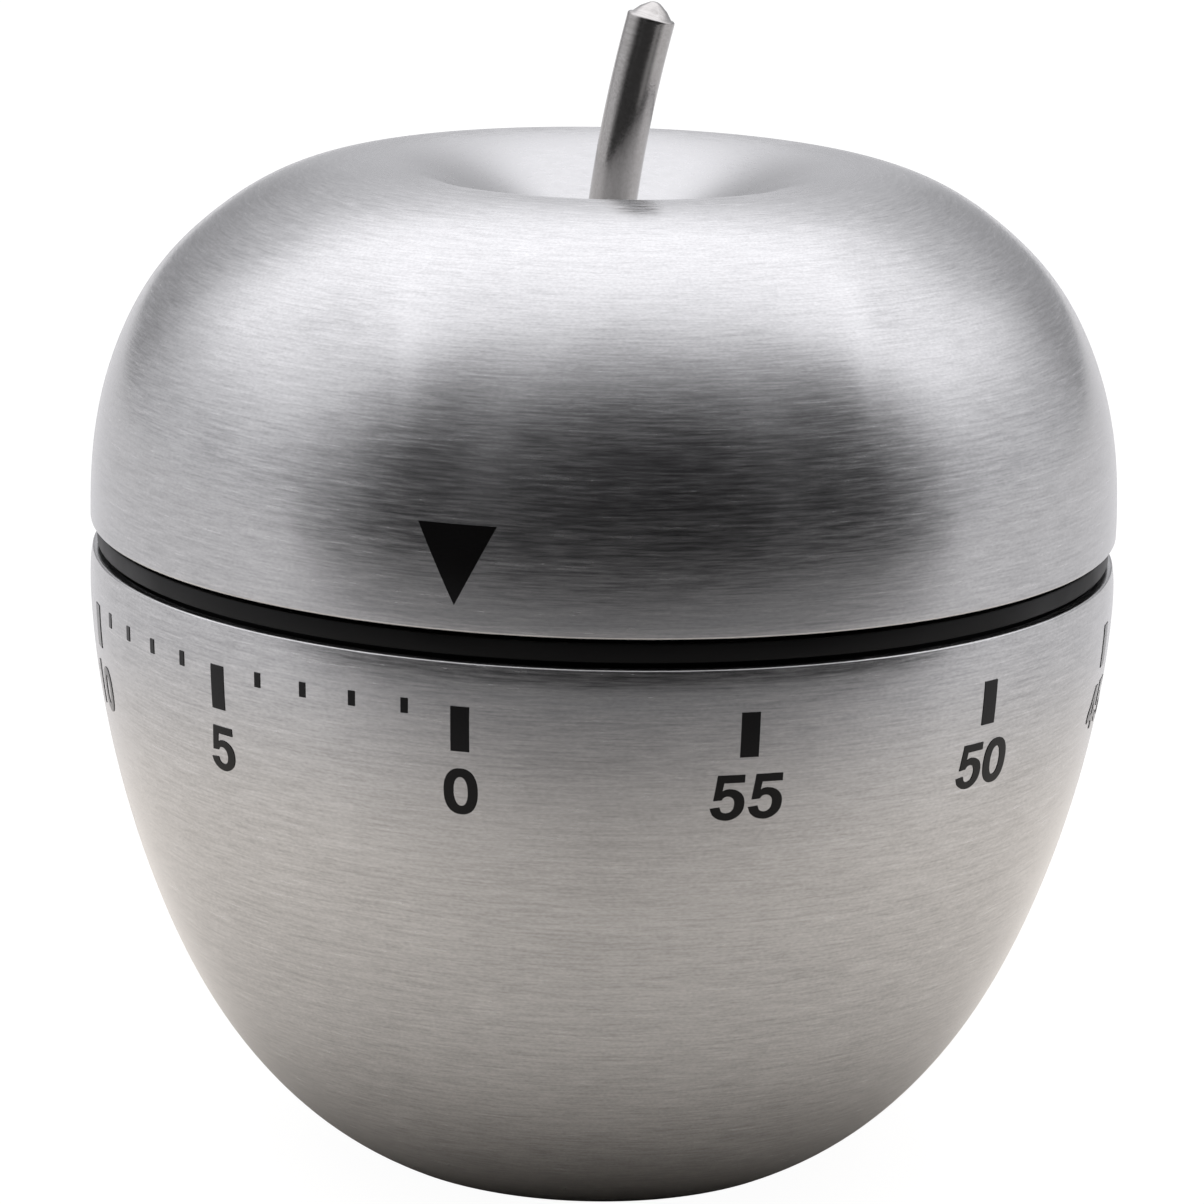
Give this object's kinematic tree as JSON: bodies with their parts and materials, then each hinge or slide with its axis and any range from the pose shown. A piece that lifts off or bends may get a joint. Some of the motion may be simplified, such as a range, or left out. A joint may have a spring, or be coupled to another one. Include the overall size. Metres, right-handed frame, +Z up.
{
  "type": "kitchen timer",
  "caption": "Mechanical kitchen timer shaped like an apple; the steel upper half with its stem turns on the lower half with the minute scale.",
  "frame": {"origin": "centre of the flat base, on the surface the timer stands on", "axes": "+Z up along the turning axis; -Y towards the pointer and the zero of the scale; +X to the right seen from the front"},
  "size_m": [0.06, 0.06, 0.0679],
  "materials": {
    "brushed_shell": "brushed round the axis, satin",
    "stem_steel": "satin turned",
    "turned_steel": "turned, bright",
    "spring_steel": "blued",
    "movement_brass": "stamped, bright",
    "black_plastic": "moulded, satin"
  },
  "bodies": {
    "base": {"lower_shell": "brushed_shell", "lower_liner": "black_plastic", "base_cap": "black_plastic", "bell": "turned_steel", "bell_post": "movement_brass", "bell_screw": "turned_steel", "movement_bottom_plate": "movement_brass", "movement_top_plate": "movement_brass", "pillar_1": "turned_steel", "pillar_2": "turned_steel", "pillar_3": "turned_steel", "pillar_screw_1": "turned_steel", "pillar_screw_2": "turned_steel", "pillar_screw_3": "turned_steel", "movement_screw_1": "turned_steel", "movement_screw_2": "turned_steel", "movement_screw_3": "turned_steel", "mainspring": "spring_steel", "hammer_spring": "spring_steel"},
    "cap": {"upper_shell": "brushed_shell", "upper_liner": "black_plastic", "drive_hub": "movement_brass", "winding_arbor": "turned_steel", "ratchet_wheel": "turned_steel", "alarm_cam": "movement_brass", "stem": "stem_steel", "stem_washer": "turned_steel", "stem_nut": "turned_steel"},
    "great": {"great_wheel": "movement_brass", "click": "turned_steel", "click_rivet": "turned_steel", "click_spring": "spring_steel"},
    "second": {"second_arbor": "turned_steel", "second_wheel": "movement_brass"},
    "third": {"third_arbor": "turned_steel", "third_wheel": "movement_brass"},
    "escape": {"escape_arbor": "turned_steel", "escape_wheel": "movement_brass"},
    "pallet": {"pallet_arbor": "turned_steel", "pallet_lever": "turned_steel", "pallet_pin_1": "turned_steel", "pallet_pin_2": "turned_steel", "balance_bar": "movement_brass"},
    "hammer": {"hammer_arbor": "turned_steel", "hammer_arm": "turned_steel", "hammer_head": "movement_brass", "hammer_lever": "turned_steel"}
  },
  "joints": [
    {"name": "dial_turn", "type": "hinge", "parent": "base", "child": "cap", "pos_m": [0, 0, 0.0375], "axis": [0, 0, 1], "range_deg": [-354, 0]},
    {"name": "great_wheel_spin", "type": "hinge", "parent": "base", "child": "great", "pos_m": [0, 0, 0.0268], "axis": [0, 0, 1], "continuous": true},
    {"name": "second_wheel_spin", "type": "hinge", "parent": "base", "child": "second", "pos_m": [-0.01178, 0.0068, 0.0287], "axis": [0, 0, 1], "continuous": true},
    {"name": "third_wheel_spin", "type": "hinge", "parent": "base", "child": "third", "pos_m": [-0.01397, -0.00254, 0.0303], "axis": [0, 0, 1], "continuous": true},
    {"name": "escape_wheel_spin", "type": "hinge", "parent": "base", "child": "escape", "pos_m": [-0.00879, -0.01024, 0.0285], "axis": [0, 0, 1], "continuous": true},
    {"name": "pallet_rock", "type": "hinge", "parent": "base", "child": "pallet", "pos_m": [-0.0025, -0.01377, 0.0295], "axis": [0, 0, 1], "range_deg": [-5, 5]},
    {"name": "hammer_swing", "type": "hinge", "parent": "base", "child": "hammer", "pos_m": [0.01585, 0.00915, 0.018], "axis": [0, 0, 1], "range_deg": [-3, 6]}
  ],
  "couplings": [
    {"joint": "great_wheel_spin", "follows": "dial_turn", "ratio": 1},
    {"joint": "second_wheel_spin", "follows": "dial_turn", "ratio": -7.5},
    {"joint": "third_wheel_spin", "follows": "dial_turn", "ratio": 52.5},
    {"joint": "escape_wheel_spin", "follows": "dial_turn", "ratio": -354.38}
  ]
}
